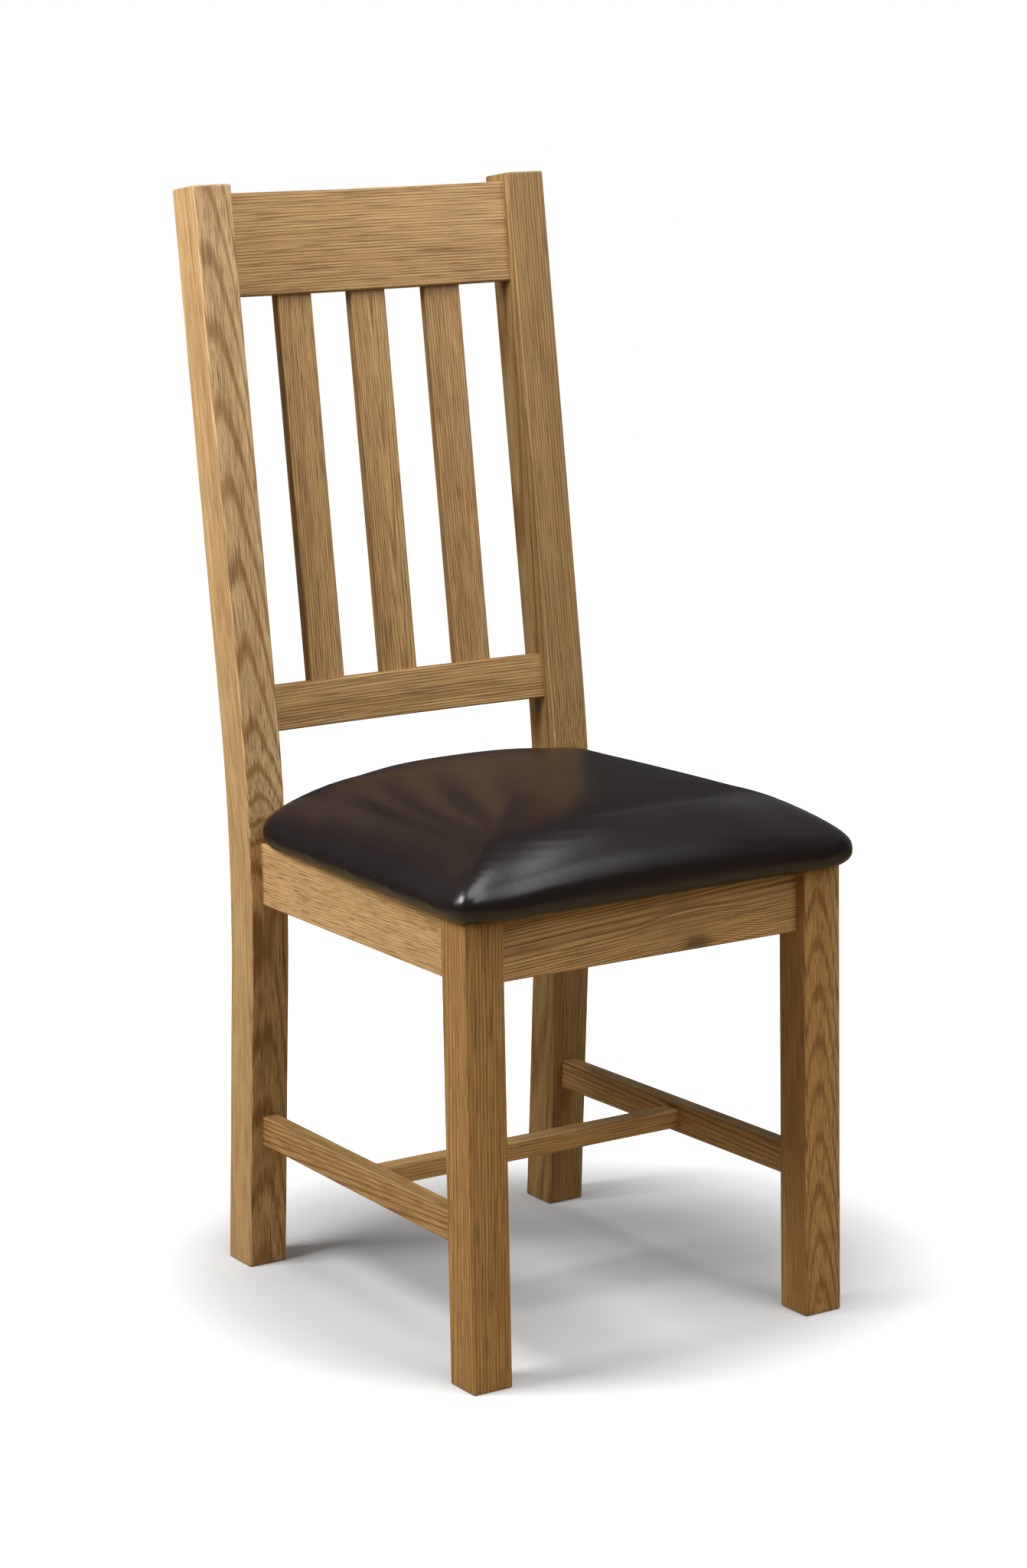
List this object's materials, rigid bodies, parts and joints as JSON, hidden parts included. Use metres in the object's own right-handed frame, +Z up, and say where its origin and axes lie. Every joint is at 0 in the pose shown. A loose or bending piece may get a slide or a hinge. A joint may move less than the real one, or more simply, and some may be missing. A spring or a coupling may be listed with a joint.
{
  "type": "dining chair",
  "caption": "Oak dining chair with a raked back of upright slats between two rails, square legs, an H of stretchers and a domed seat pad in dark leatherette",
  "frame": {"origin": "on the floor, under the middle of the chair's bounding box", "axes": "+X across to the right as seen from the front, +Y to the rear, +Z up"},
  "size_m": [0.4412, 0.5498, 1.0758],
  "materials": {
    "oak": "satin clear lacquer over solid oak",
    "plywood": "bare birch plywood",
    "foam": "cut polyurethane foam",
    "leatherette": "smooth coated fabric with a satin gloss",
    "lining": "spun-bonded black lining",
    "steel": "zinc-plated steel"
  },
  "bodies": {
    "root": {"front_leg_left": "oak", "front_leg_right": "oak", "rear_post_left": "oak", "rear_post_right": "oak", "front_seat_rail": "oak", "rear_seat_rail": "oak", "side_seat_rail_left": "oak", "side_seat_rail_right": "oak", "side_stretcher_left": "oak", "side_stretcher_right": "oak", "cross_stretcher": "oak", "top_rail": "oak", "lower_back_rail": "oak", "back_slat_1": "oak", "back_slat_2": "oak", "back_slat_3": "oak", "corner_block_front_left": "oak", "corner_block_front_right": "oak", "corner_block_rear_left": "oak", "corner_block_rear_right": "oak", "seat_board": "plywood", "seat_foam": "foam", "seat_cover": "leatherette", "seat_lining": "lining", "lining_staples": "steel", "block_screws": "steel", "seat_screws": "steel"}
  },
  "joints": []
}
